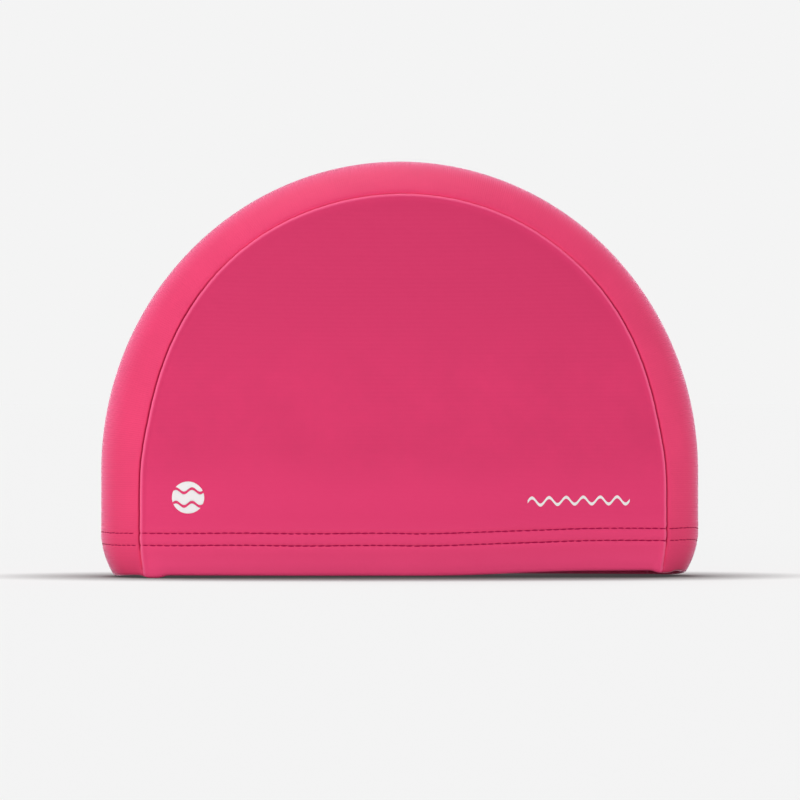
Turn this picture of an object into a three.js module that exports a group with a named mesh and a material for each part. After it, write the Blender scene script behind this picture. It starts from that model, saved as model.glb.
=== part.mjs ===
// A swim cap of stretch cloth, standing open on its rim. Two D-shaped side panels are joined by a
// centre strip that runs over the crown from front to back, and the rim is turned up as a hem.
// Millimetres. X runs along the cap, Y runs across it with the near side at -Y, Z points up.

import * as THREE from 'three';
import { ParametricGeometry } from 'three/addons/geometries/ParametricGeometry.js';
import { mergeGeometries, mergeVertices } from 'three/addons/utils/BufferGeometryUtils.js';

// Outline of the cap seen from its side: straight walls below, half an ellipse above them
const capLength = 196;
const capHeight = 136;
const archHeight = 101.5;

// Centre strip: each seam's distance from the middle plane, and the strip's rise above its seams
const seamSpread = 26;
const stripRise = 12;

// The seams don't keep quite the same distance from the outline all the way: the strip's rise in
// shares of stripRise, by heights in shares of the cap's height
const riseRows = [
  { height: 0.2, share: 1 },
  { height: 0.41, share: 1.1 },
  { height: 0.9, share: 0.88 },
  { height: 1, share: 0.9 },
];

// Side panels: how far each stands out past its seam, and how flat its middle is
const panelBulge = 12;
const bulgePower = 2.2;

// Cloth, and the hem that is turned up inside the rim
const clothThickness = 1.2;
const hemHeight = 14.6;
const hemEdgeSlope = 0.5;

// How far the hem draws the rim in at the tips of the cap's ends and at the middle of its sides,
// and how closely the ends' share keeps to the tips
const endTuck = 4.6;
const sideTuck = 2;
const endTuckPower = 7;

// Seams: the gap between two joined pieces, and the cloth edges that are turned in behind it
const seamGap = 0.35;
const allowanceWidth = 6.5;
const allowanceThickness = 1.6;
const allowanceGap = 0.3;

// Colours of the cloth, and its dull finish
const panelColour = 0xd83d69;
const stripColour = 0xee557b;
const clothRoughness = 0.75;

// Steps along the arch, across the strip, from a panel's middle to its seam, and over an allowance
const archSteps = 46;
const stripSteps = 10;
const panelSteps = 8;
const allowanceSteps = 2;

// The fold at the rim, from its flat foot upwards, in shares of the hem's thickness:
// the height of a row, and how deep the outer and the inner face lie under the cloth's surface
const foldRows = [
  { height: 0, outer: 0.3, inner: 0.7 },
  { height: 0.12, outer: 0.1, inner: 0.9 },
  { height: 0.4, outer: 0, inner: 1 },
];

// Further rows up the hem in shares of its height, and up the wall over it in shares of that wall
const hemRows = [0.25, 0.5, 0.75, 1];
const wallRows = [0.35, 0.7, 1];

const halfLength = capLength / 2;
const halfWidth = seamSpread + panelBulge;
const wallHeight = capHeight - archHeight;
const hemThickness = 2 * clothThickness;
const hemTop = hemHeight + hemEdgeSlope;

// How fast a wall's direction turns towards the crease near a strip's or a panel's edge
const stripTurnPower = 6;
const panelTurnPower = 3;

function riseAt(height) {
  const level = height / capHeight;
  let { share } = riseRows[0];
  for (let k = 1; k < riseRows.length; k += 1) {
    const [from, to] = [riseRows[k - 1], riseRows[k]];
    share += (to.share - from.share) * THREE.MathUtils.smoothstep(level, from.height, to.height);
  }
  return share * stripRise;
}

// The strip's section is an arc through both seams and its own crown. Strip and panel meet at a
// crease, and both are cut along the line that halves it.
function sectionAt(height) {
  const rise = riseAt(height);
  const radius = (seamSpread ** 2 + rise ** 2) / (2 * rise);
  const angle = Math.asin(seamSpread / radius);
  const panelEdgeSlope = (panelBulge * bulgePower) / (halfLength - rise);
  const panelEdgeAngle = Math.PI / 2 - Math.atan(panelEdgeSlope);
  return { rise, radius, angle, crease: (angle + panelEdgeAngle) / 2 };
}

// A station is one place on the side outline, with the direction straight out of the cap there, the
// strip's section, and the depths of the cloth's two faces under its surface.
function makeStations() {
  const rows = foldRows.map((row) => ({
    height: row.height * hemThickness,
    outer: row.outer * hemThickness,
    inner: row.inner * hemThickness,
  }));
  for (const share of hemRows) {
    rows.push({ height: share * hemHeight, outer: 0, inner: hemThickness });
  }
  rows.push({ height: hemTop, outer: 0, inner: clothThickness });
  for (const share of wallRows) {
    const height = THREE.MathUtils.lerp(hemTop, wallHeight, share);
    rows.push({ height, outer: 0, inner: clothThickness });
  }
  const wall = (end) => rows.map((row) => ({
    place: new THREE.Vector2(end * halfLength, row.height),
    outward: new THREE.Vector2(end, 0),
    section: sectionAt(row.height),
    outer: row.outer,
    inner: row.inner,
  }));
  const ellipse = new THREE.EllipseCurve(0, wallHeight, halfLength, archHeight, Math.PI, 0, true);
  const arch = [];
  for (let step = 1; step < archSteps; step += 1) {
    const place = ellipse.getPoint(step / archSteps);
    const along = ellipse.getTangent(step / archSteps);
    arch.push({
      place,
      outward: new THREE.Vector2(-along.y, along.x),
      section: sectionAt(place.y),
      outer: 0,
      inner: clothThickness,
    });
  }
  return [...wall(-1), ...arch, ...wall(1).reverse()];
}

const stations = makeStations();
const archStations = stations.filter((station) => station.place.y >= hemTop);

function stationAt(list, share) {
  return list[Math.round(share * (list.length - 1))];
}

// Sets a point that lies at a depth under the cloth's surface. The wall's direction leans from the
// outline's own direction towards Y by an angle. The hem draws its points in towards the middle.
function setWallPoint(target, surface, outward, lean, side, depth) {
  const inPlane = depth * Math.cos(lean);
  target.set(
    surface.x - inPlane * outward.x,
    side * (surface.y - depth * Math.sin(lean)),
    surface.z - inPlane * outward.y,
  );
  const draw = Math.max(0, 1 - target.z / hemHeight) ** 2;
  const tipShare = Math.abs(target.x / halfLength) ** endTuckPower;
  target.x *= 1 - (draw * tipShare * endTuck) / halfLength;
  target.y *= 1 - (draw * sideTuck) / halfWidth;
}

// A point of the centre strip: across runs from -1 at the near seam to 1 at the far seam.
function setStripPoint(target, station, across, depth) {
  const { section } = station;
  const angle = Math.abs(across) * (section.angle - seamGap / 2 / section.radius);
  const drop = section.radius * (1 - Math.cos(angle));
  const surface = new THREE.Vector3(
    station.place.x - drop * station.outward.x,
    section.radius * Math.sin(angle),
    station.place.y - drop * station.outward.y,
  );
  const turn = (section.crease - section.angle) * Math.abs(across) ** stripTurnPower;
  const lean = angle + turn;
  setWallPoint(target, surface, station.outward, lean, Math.sign(across), depth);
}

// The middle of a panel at a station: on the centre line, and no higher than the straight walls.
function panelHub(station) {
  return new THREE.Vector2(0, Math.min(station.place.y, wallHeight));
}

function panelEdge(station) {
  const inward = -station.section.rise - seamGap / 2;
  return station.place.clone().addScaledVector(station.outward, inward);
}

// A point of a side panel: reach runs from 0 at the panel's middle to 1 at its seam.
function setPanelPoint(target, station, side, reach, depth) {
  const flat = panelHub(station).lerp(panelEdge(station), reach);
  const out = seamSpread + panelBulge * (1 - reach ** bulgePower);
  const surface = new THREE.Vector3(flat.x, out, flat.y);
  const lean = Math.PI / 2 - (Math.PI / 2 - station.section.crease) * reach ** panelTurnPower;
  setWallPoint(target, surface, station.outward, lean, side, depth);
}

// A closed body of cloth. surface(u, v, layer, target) sets a point, with layer 0 on the outer face
// and 1 on the inner. The corners are the ends of the open edges, in order, as pairs of u and v.
function clothBody(surface, columns, rows, corners) {
  const sheets = [
    new ParametricGeometry((u, v, target) => surface(u, v, 0, target), columns, rows),
    new ParametricGeometry((u, v, target) => surface(1 - u, v, 1, target), columns, rows),
  ];
  for (let k = 1; k < corners.length; k += 1) {
    const [fromU, fromV] = corners[k - 1];
    const [toU, toV] = corners[k];
    const edge = (share, layer, target) => surface(
      THREE.MathUtils.lerp(fromU, toU, share),
      THREE.MathUtils.lerp(fromV, toV, share),
      layer,
      target,
    );
    sheets.push(new ParametricGeometry(edge, fromU === toU ? rows : columns, 1));
  }
  return weld(mergeGeometries(sheets));
}

// Joins the vertices that the sheets share, and drops triangles that shrank to a line at a hub.
function weld(geometry) {
  geometry.deleteAttribute('normal');
  geometry.deleteAttribute('uv');
  const welded = mergeVertices(geometry);
  const corner = welded.index.array;
  const kept = [];
  for (let k = 0; k < corner.length; k += 3) {
    const [a, b, c] = corner.slice(k, k + 3);
    if (a !== b && b !== c && c !== a) {
      kept.push(a, b, c);
    }
  }
  welded.setIndex(kept);
  welded.computeVertexNormals();
  return welded;
}

const allRound = [[1, 0], [0, 0], [0, 1], [1, 1], [1, 0]];
const allButHub = [[0, 0], [0, 1], [1, 1], [1, 0]];

function centreStrip() {
  const surface = (u, v, layer, target) => {
    const station = stationAt(stations, u);
    const depth = THREE.MathUtils.lerp(station.outer, station.inner, layer);
    setStripPoint(target, station, 2 * v - 1, depth);
  };
  return clothBody(surface, stations.length - 1, stripSteps, allRound);
}

// The far side's stations run the other way, so that its faces point out of the cap too.
function alongSide(u, side) {
  return side < 0 ? u : 1 - u;
}

function sidePanel(side) {
  const surface = (u, v, layer, target) => {
    const station = stationAt(stations, alongSide(u, side));
    const depth = THREE.MathUtils.lerp(station.outer, station.inner, layer);
    setPanelPoint(target, station, side, v, depth);
  };
  return clothBody(surface, stations.length - 1, panelSteps, allButHub);
}

// The cloth edges turned in behind a seam lie flat on the panel's inner face, above the hem.
function seamAllowance(side) {
  const surface = (u, v, layer, target) => {
    const station = stationAt(archStations, alongSide(u, side));
    const ray = panelHub(station).distanceTo(panelEdge(station));
    const reach = 1 - ((1 - v) * allowanceWidth) / ray;
    const depth = clothThickness + allowanceGap + layer * allowanceThickness;
    setPanelPoint(target, station, side, reach, depth);
  };
  return clothBody(surface, archStations.length - 1, allowanceSteps, allRound);
}

function clothMesh(name, geometry, colour) {
  const material = new THREE.MeshStandardMaterial({
    color: colour,
    roughness: clothRoughness,
    metalness: 0,
  });
  const mesh = new THREE.Mesh(geometry, material);
  mesh.name = name;
  return mesh;
}

const cap = new THREE.Group();
cap.add(clothMesh('centre_strip', centreStrip(), stripColour));
for (const [place, side] of [['near', -1], ['far', 1]]) {
  cap.add(clothMesh(`${place}_side_panel`, sidePanel(side), panelColour));
  cap.add(clothMesh(`${place}_seam_allowance`, seamAllowance(side), stripColour));
}

export default cap;
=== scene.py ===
"""Dresses the swim cap: sheets of stretch cloth on its form, stitching, print and the studio."""

import logging
import math
from collections.abc import Callable, Iterable
from dataclasses import dataclass, field, replace
from enum import Enum

import bmesh
import bpy
from mathutils import Matrix, Vector


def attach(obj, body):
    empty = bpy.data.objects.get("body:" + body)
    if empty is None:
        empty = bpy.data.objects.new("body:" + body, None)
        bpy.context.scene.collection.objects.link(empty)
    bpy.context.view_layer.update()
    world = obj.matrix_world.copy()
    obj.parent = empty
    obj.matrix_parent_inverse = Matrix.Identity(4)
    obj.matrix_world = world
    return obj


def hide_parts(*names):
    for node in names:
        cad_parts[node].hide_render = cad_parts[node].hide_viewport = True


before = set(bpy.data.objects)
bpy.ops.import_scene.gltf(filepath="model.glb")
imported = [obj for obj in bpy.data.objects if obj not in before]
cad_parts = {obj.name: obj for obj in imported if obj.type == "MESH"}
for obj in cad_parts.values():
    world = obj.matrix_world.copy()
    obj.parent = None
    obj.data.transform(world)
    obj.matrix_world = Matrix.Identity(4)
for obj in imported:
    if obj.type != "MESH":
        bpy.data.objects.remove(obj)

log = logging.getLogger("swim_cap")

MM = 0.001

# The hem's two rows of stitches and the distance from one stitch to the next, in millimetres
STITCH_ROWS = (10.7, 14.6)
STITCH_PITCH = 2.4

Piece = bpy.types.Object
Socket = bpy.types.NodeSocket
Colour = tuple[float, ...]

# A column of a sheet: its distance from the seam when flat, the same when rolled, and its lift
Column = tuple[float, float, float]

# A point of a sheet, its place on the cloth, and its distance from the seam and place along it
GridPoint = tuple[Vector, tuple[float, float], tuple[float, float]]


class Side(Enum):
    """The side of the cap that a piece belongs to, with the sign of its Y."""

    NEAR = -1
    FAR = 1


class Cloth(Enum):
    """The two kinds of cloth that meet at a long seam."""

    PANEL = "panel"
    STRIP = "strip"


def smooth_step(low: float, high: float, value: float) -> float:
    """Eases a value from 0 at the low bound to 1 at the high one."""
    share = min(1.0, max(0.0, (value - low) / (high - low)))
    return share * share * (3 - 2 * share)


def hill(value: float, centre: float, width: float) -> float:
    """Gives the height of a soft hill of height 1, which falls to about a third at its width."""
    return math.exp(-(((value - centre) / width) ** 2))


@dataclass(frozen=True)
class Section:
    """The cap's section at one place on the outline.

    It holds the strip's rise, radius and half angle, the panel's slope at its seam, and the angle
    of the line that halves the crease between the two.
    """

    rise: float
    radius: float
    angle: float
    slope: float
    crease: float


@dataclass(frozen=True)
class Station:
    """One place on the cap's side outline, and how the cloth lies there."""

    x: float
    z: float
    out_x: float
    out_z: float
    section: Section
    depth: float
    along: float
    height: float
    roll: float


@dataclass(frozen=True)
class HemRest:
    """How the soft hem stands: on its thick seam ends, with the rim a little clear between them."""

    lift: float = 1.0 * MM
    end_lift: float = 0.5 * MM
    lift_top: float = 8 * MM
    foot_x: float = 83.0 * MM
    foot_shift: float = 2.0 * MM
    foot_width: float = 3.3 * MM
    foot_swell: float = 0.5 * MM
    rise: float = 1.45 * MM
    rise_from: float = 9 * MM
    rise_to: float = 60 * MM
    rise_low: float = 18 * MM
    rise_high: float = 37 * MM
    side_blend: float = 20 * MM
    end_from: float = 86 * MM
    end_to: float = 94 * MM
    least_reach: float = 10 * MM

    def foot(self, x: float) -> float:
        """Gives a number from 0, clear of the ground, to 1 on a foot."""
        return math.exp(-(((abs(x - self.foot_shift) - self.foot_x) / self.foot_width) ** 4))

    def settle(self, point: Vector) -> Vector:
        """Moves a point of the cloth to where the soft hem has it.

        Args:
            point: A point of the plain form.

        Returns:
            The point on the hem as it stands.
        """
        fade = max(0.0, 1 - point.z / self.lift_top) ** 2
        foot = self.foot(point.x)
        near = smooth_step(self.side_blend, -self.side_blend, point.y)
        corner = near * smooth_step(self.rise_from, self.rise_to, point.x)
        held = 1 - smooth_step(self.rise_low, self.rise_high, point.z)
        swell = 1 + fade * foot * self.foot_swell / max(abs(point.y), self.least_reach)
        at_end = smooth_step(self.end_from, self.end_to, abs(point.x))
        lift = self.lift + (self.end_lift - self.lift) * at_end
        up = near * lift * fade * (1 - foot) + self.rise * corner * held
        return Vector((point.x, point.y * swell, point.z + up))


@dataclass(frozen=True)
class CapForm:
    """The cap's form: a side outline, a strip over it and a bulged panel on each side."""

    half_length: float = 98 * MM
    wall_height: float = 34.5 * MM
    arch_height: float = 101.5 * MM
    seam_spread: float = 26 * MM
    strip_rise: float = 12 * MM
    rise_rows: tuple[tuple[float, float], ...] = ((0.2, 1.0), (0.41, 1.10), (0.9, 0.88), (1.0, 0.90))
    rise_skew: tuple[float, float, float] = (62 * MM, 24 * MM, 0.055)
    skew_levels: tuple[float, float] = (0.2, 0.4)
    panel_bulge: float = 12 * MM
    bulge_power: float = 2.2
    hem_height: float = 14.6 * MM
    end_tuck: float = 4.6 * MM
    end_tuck_power: float = 7.0
    side_tuck: float = 2.0 * MM
    strip_turn_power: float = 6.0
    panel_turn_power: float = 3.0
    rest: HemRest = field(default_factory=HemRest)

    @property
    def half_width(self) -> float:
        """The distance from the middle plane to the middle of a panel."""
        return self.seam_spread + self.panel_bulge

    def section(self, x: float, z: float) -> Section:
        """Gives the section at a place on the outline.

        Args:
            x: How far along the cap it is. One shoulder's seam lies a little further in.
            z: Its height.

        Returns:
            The section.
        """
        level = z / (self.wall_height + self.arch_height)
        share = self.rise_rows[0][1]
        for (low, before), (high, after) in zip(self.rise_rows, self.rise_rows[1:]):
            share += (after - before) * smooth_step(low, high, level)
        centre, width, extra = self.rise_skew
        share += extra * hill(x, centre, width) * smooth_step(*self.skew_levels, level)
        rise = share * self.strip_rise
        radius = (self.seam_spread**2 + rise**2) / (2 * rise)
        angle = math.asin(self.seam_spread / radius)
        slope = self.panel_bulge * self.bulge_power / (self.half_length - rise)
        return Section(rise, radius, angle, slope, (angle + math.pi / 2 - math.atan(slope)) / 2)

    def settle(
        self, x: float, y: float, z: float, station: Station, lean: float, side: int, depth: float
    ) -> Vector:
        """Sets a point at a depth under the form's surface, and draws it in at the hem.

        Args:
            x: The surface point's place along the cap.
            y: Its distance from the middle plane.
            z: Its height.
            station: The station that it belongs to.
            lean: The wall's direction, from the outline's own direction towards Y.
            side: -1 on the near side and 1 on the far side.
            depth: How far the point lies under the surface.

        Returns:
            The point.
        """
        in_plane = depth * math.cos(lean)
        px = x - in_plane * station.out_x
        py = side * (y - depth * math.sin(lean))
        pz = z - in_plane * station.out_z
        draw = max(0.0, 1 - pz / self.hem_height) ** 2
        tip = abs(px / self.half_length) ** self.end_tuck_power
        px *= 1 - draw * tip * self.end_tuck / self.half_length
        py *= 1 - draw * self.side_tuck / self.half_width
        return self.rest.settle(Vector((px, py, pz)))

    def strip_point(self, station: Station, distance: float, side: int, lift: float) -> Vector:
        """Gives a point of the centre strip.

        Args:
            station: Where on the outline the point lies.
            distance: How far from the seam line it is, over the cloth.
            side: -1 towards the near seam and 1 towards the far seam.
            lift: How far it stands out from the station's own depth.

        Returns:
            The point.
        """
        section = station.section
        angle = section.angle - distance / section.radius
        share = max(0.0, angle / section.angle)
        drop = section.radius * (1 - math.cos(angle))
        lean = angle + (section.crease - section.angle) * share**self.strip_turn_power
        x = station.x - drop * station.out_x
        z = station.z - drop * station.out_z
        y = section.radius * math.sin(angle)
        return self.settle(x, y, z, station, lean, side, station.depth - lift)

    def panel_ray(self, station: Station) -> tuple[Vector, Vector]:
        """Gives the line from a panel's middle to its seam.

        Args:
            station: Where on the outline the line ends.

        Returns:
            The hub and the seam point, as (x, z).
        """
        hub = Vector((0.0, min(station.z, self.wall_height)))
        rise = station.section.rise
        return hub, Vector((station.x - rise * station.out_x, station.z - rise * station.out_z))

    def panel_length(self, station: Station) -> float:
        """Gives the distance over the cloth from a panel's middle to its seam line."""
        hub, edge = self.panel_ray(station)
        return (edge - hub).length * math.sqrt(1 + station.section.slope**2)

    def panel_place(self, station: Station, distance: float) -> tuple[float, Vector]:
        """Finds a place on a panel as it is seen from its side.

        Args:
            station: Where on the outline the place's ray ends.
            distance: How far from the seam line it is, over the cloth.

        Returns:
            Its share of the way from the panel's middle to its seam, and its x and z.
        """
        hub, edge = self.panel_ray(station)
        reach = max(0.0, 1 - distance / self.panel_length(station))
        return reach, hub.lerp(edge, reach)

    def panel_point(self, station: Station, distance: float, side: int, lift: float) -> Vector:
        """Gives a point of a side panel.

        Args:
            station: Where on the outline the point's ray ends.
            distance: How far from the seam line it is, over the cloth.
            side: -1 for the near panel and 1 for the far panel.
            lift: How far it stands out from the station's own depth.

        Returns:
            The point.
        """
        reach, place = self.panel_place(station, distance)
        y = self.seam_spread + self.panel_bulge * (1 - reach**self.bulge_power)
        turn = (math.pi / 2 - station.section.crease) * reach**self.panel_turn_power
        lean = math.pi / 2 - turn
        return self.settle(place.x, y, place.y, station, lean, side, station.depth - lift)


@dataclass(frozen=True)
class HemPlan:
    """The rows of the turned-up hem, and the stations that a cloth passes on its way over the cap."""

    ply: float = 1.2 * MM
    raw_edge: float = 15.2 * MM
    fold_steps: int = 8
    arch_steps: int = 320
    inside_rows: tuple[float, ...] = (13.8, 12.0, 10.0, 7.6, 5.0, 2.6)
    outside_rows: tuple[float, ...] = (
        1.9, 2.8, 3.8, 5.0, 6.4, 7.8, 8.8, 9.4, 9.8, 10.1, 10.3, 10.5, 10.7, 10.9, 11.1, 11.3, 11.6,
        12.0, 12.5, 13.0, 13.5, 13.85, 14.1, 14.3, 14.45, 14.6, 14.75, 14.9, 15.1, 15.4, 15.9, 16.6,
        17.6, 19.0, 20.8, 22.8, 25.0, 27.3, 29.7, 32.1, 34.5,
    )
    stitch_rows: tuple[float, ...] = tuple(row * MM for row in STITCH_ROWS)
    groove_depth: float = 0.30 * MM
    groove_width: float = 0.50 * MM
    puff: float = 0.18 * MM
    puff_spread: float = 3.2
    side_puff: float = 0.5
    side_puff_gap: float = 1.5 * MM
    side_puff_width: float = 0.9 * MM
    strip_relief: float = 0.45

    def end_rows(self) -> list[tuple[float, float, float, float]]:
        """Lists the rows of one end, from the raw edge inside, round the fold and up the wall.

        Returns:
            For each row its height, its depth, its height over the cloth and its share of the roll.
        """
        radius = self.ply / 2
        rows = [(self.raw_edge, 3 * radius, -self.raw_edge, 0.0)]
        rows += [(z * MM, 3 * radius, -z * MM, 0.0) for z in self.inside_rows]
        for step in range(self.fold_steps + 1):
            angle = math.pi * step / self.fold_steps
            z = self.ply - radius * math.sin(angle)
            over = self.ply * (2 * step / self.fold_steps - 1)
            rows.append((z, self.ply + radius * math.cos(angle), over, 0.0))
        for z in self.outside_rows:
            rows.append((z * MM, radius, z * MM, smooth_step(1.2, 3.0, z)))
        return rows

    def stations(self, form: CapForm) -> list[Station]:
        """Lists the stations from the left end's raw edge over the cap to the right end's.

        Args:
            form: The cap's form.

        Returns:
            The stations in order.
        """
        rows = self.end_rows()
        left = [self.wall_station(form, -1, row) for row in rows]
        right = [self.wall_station(form, 1, row) for row in reversed(rows)]
        arch = []
        for step in range(1, self.arch_steps):
            angle = math.pi * (1 - step / self.arch_steps)
            across, up = math.cos(angle), math.sin(angle)
            out = Vector((form.arch_height * across, form.half_length * up)).normalized()
            z = form.wall_height + form.arch_height * up
            x = form.half_length * across
            along = -(form.wall_height + form.half_length * (angle - math.pi / 2))
            section = form.section(x, z)
            arch.append(Station(x, z, out.x, out.y, section, self.ply / 2, along, z, 1.0))
        return left + arch + right

    def wall_station(
        self, form: CapForm, end: int, row: tuple[float, float, float, float]
    ) -> Station:
        """Makes a station on one of the straight ends.

        Args:
            form: The cap's form.
            end: -1 for the left end and 1 for the right end.
            row: Its height, its depth, its height over the cloth and its share of the roll.

        Returns:
            The station.
        """
        z, depth, over, roll = row
        quarter = form.half_length * math.pi / 2
        along = end * (quarter + form.wall_height - over) - form.wall_height
        section = form.section(end * form.half_length, z)
        x = end * form.half_length
        return Station(x, z, float(end), 0.0, section, depth, along, over, roll)

    def row_station(self, form: CapForm, end: int, height: float, inside: bool) -> Station:
        """Makes the station of a row of stitches.

        Args:
            form: The cap's form.
            end: -1 for the left end and 1 for the right end.
            height: The row's height.
            inside: True for the hem's inner face.

        Returns:
            The station, on the sheet's middle.
        """
        depth = self.ply * (1.5 if inside else 0.5)
        roll = 0.0 if inside else 1.0
        over = -height if inside else height
        return self.wall_station(form, end, (height, depth, over, roll))

    def relief(self, station: Station) -> float:
        """Gives how far the hem's cloth stands out: grooves at its rows and puffs beside them.

        Args:
            station: Where on the outline it is wanted.

        Returns:
            The height, positive outwards.
        """
        if station.height < 0:
            return 0.0
        low, high = self.stitch_rows
        sunk = sum(hill(station.height, row, self.groove_width) for row in (low, high))
        middle = hill(station.height, (low + high) / 2, (high - low) / self.puff_spread)
        above, below = (
            self.side_puff * hill(station.height, row, self.side_puff_width)
            for row in (high + self.side_puff_gap, low - self.side_puff_gap)
        )
        return self.puff * (middle + above + below) - self.groove_depth * min(1.0, sunk)


@dataclass(frozen=True)
class SeamRoll:
    """How a cloth rolls in at a long seam, in rows from the seam outwards.

    Each row holds, in millimetres, its distance from the seam line when flat, the same when rolled,
    and how far the rolled cloth stands out there.
    """

    rows: tuple[Column, ...]

    def columns(self, length: float, count: int) -> list[Column]:
        """Lists the columns of a sheet, from the seam to its far end.

        Args:
            length: The distance over the cloth from the seam line to the far end.
            count: The number of columns past the roll.

        Returns:
            The columns: flat distance, rolled distance and lift, in metres.
        """
        made = [(flat * MM, rolled * MM, lift * MM) for flat, rolled, lift in self.rows]
        start = made[-1][0]
        for step in range(1, count + 1):
            distance = start + (length - start) * step / count
            made.append((distance, distance, 0.0))
        return made


PANEL_ROLL = SeamRoll(
    (
        (0.10, 0.58, -0.90),
        (0.25, 0.58, -0.58),
        (0.40, 0.62, -0.28),
        (0.55, 0.72, -0.02),
        (0.75, 0.90, 0.17),
        (1.00, 1.12, 0.25),
        (1.30, 1.38, 0.20),
        (1.70, 1.72, 0.07),
        (2.20, 2.20, -0.06),
        (2.90, 2.90, -0.11),
        (3.80, 3.80, -0.08),
        (5.00, 5.00, -0.03),
        (6.50, 6.50, 0.00),
    )
)

STRIP_ROLL = SeamRoll(
    (
        (0.10, 0.58, -1.00),
        (0.25, 0.58, -0.72),
        (0.40, 0.62, -0.48),
        (0.55, 0.72, -0.28),
        (0.80, 0.95, -0.13),
        (1.10, 1.25, -0.03),
        (1.50, 1.60, 0.03),
        (2.10, 2.15, 0.05),
        (3.00, 3.00, 0.03),
        (4.20, 4.20, 0.00),
    )
)


@dataclass(frozen=True)
class Softness:
    """The small unevenness of the cloth: puckers along the seams and soft dents in the panels.

    Each pucker wave has a height, a length in millimetres over one radian, and a phase. Each dent
    has its middle's x and z, its width, its height and its depth, in millimetres.
    """

    pucker: float = 0.10 * MM
    pucker_reach: float = 2.4 * MM
    pucker_waves: tuple[tuple[float, float, float], ...] = (
        (0.5, 0.84, 0.7),
        (0.3, 0.49, 2.1),
        (0.4, 1.7, 4.0),
    )
    dents: tuple[tuple[float, float, float, float, float], ...] = (
        (-62.0, 78.0, 9.0, 16.0, -0.35),
        (-30.0, 66.0, 26.0, 5.0, 0.16),
        (-36.0, 57.0, 22.0, 4.5, -0.15),
        (-8.0, 92.0, 30.0, 8.0, 0.20),
        (40.0, 52.0, 9.0, 30.0, -0.25),
        (62.0, 60.0, 8.0, 24.0, 0.22),
        (74.0, 40.0, 6.0, 20.0, -0.20),
        (-70.0, 40.0, 8.0, 14.0, 0.20),
        (10.0, 24.0, 40.0, 5.0, 0.18),
    )

    def seam_pucker(self, along: float, distance: float) -> float:
        """Gives the pucker's height near a seam.

        Args:
            along: The place along the seam.
            distance: The distance from the seam line.

        Returns:
            The height, positive outwards.
        """
        wave = sum(
            high * math.sin(along / (length * MM) + phase)
            for high, length, phase in self.pucker_waves
        )
        return self.pucker * wave * math.exp(-distance / self.pucker_reach)

    def dent(self, x: float, z: float) -> float:
        """Gives the height of the soft dents of a panel at a place seen from its side."""
        height = 0.0
        for centre_x, centre_z, wide, tall, deep in self.dents:
            far = ((x / MM - centre_x) / wide) ** 2 + ((z / MM - centre_z) / tall) ** 2
            height += deep * MM * math.exp(-far)
        return height


@dataclass(frozen=True)
class DressedCap:
    """The cap's form with its hem, its rolled seams and its softness: where any point of cloth lies."""

    form: CapForm = field(default_factory=CapForm)
    hem: HemPlan = field(default_factory=HemPlan)
    soft: Softness = field(default_factory=Softness)
    half_cloth: float = 0.575 * MM
    flush_crown: float = 0.60
    flush_from: float = 95 * MM
    flush_to: float = 122 * MM
    panel_columns: int = 44
    strip_columns: int = 15

    def columns(self, cloth: Cloth, station: Station) -> list[Column]:
        """Lists a cloth's columns at a station, from its seam to its middle.

        Args:
            cloth: Panel or strip.
            station: Where on the outline they lie.

        Returns:
            The columns: flat distance, rolled distance and lift.
        """
        if cloth is Cloth.PANEL:
            return PANEL_ROLL.columns(self.form.panel_length(station), self.panel_columns)
        length = station.section.radius * station.section.angle
        return STRIP_ROLL.columns(length, self.strip_columns)

    def point(
        self,
        cloth: Cloth,
        station: Station,
        column: Column,
        side: int,
        lift: float = 0.0,
    ) -> Vector:
        """Gives a point of the dressed cloth.

        Args:
            cloth: Panel or strip.
            station: Where on the outline the point lies.
            column: Flat distance from the seam, rolled distance and the roll's lift.
            side: -1 towards the near side and 1 towards the far side.
            lift: How far the point stands out from the middle of the cloth.

        Returns:
            The point.
        """
        flat, rolled, rolled_lift = column
        distance = flat + (rolled - flat) * station.roll
        relief = self.hem.relief(station)
        roll = station.roll
        if cloth is Cloth.STRIP:
            relief *= self.hem.strip_relief
            level = smooth_step(self.flush_from, self.flush_to, station.height)
            roll *= 1 - self.flush_crown * level
        out = lift + rolled_lift * roll + relief
        out += self.soft.seam_pucker(station.along, flat) * station.roll
        if cloth is Cloth.STRIP:
            return self.form.strip_point(station, distance, side, out)
        if station.height > 0:
            place = self.form.panel_place(station, distance)[1]
            out += self.soft.dent(-side * place.x, place.y)
        return self.form.panel_point(station, distance, side, out)


def corners_of(made: dict) -> Iterable[bmesh.types.BMLoop]:
    """Lists the face corners at the vertices that a bmesh operator made."""
    faces = {face for vertex in made["verts"] for face in vertex.link_faces}
    return (loop for face in faces for loop in face.loops)


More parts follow.
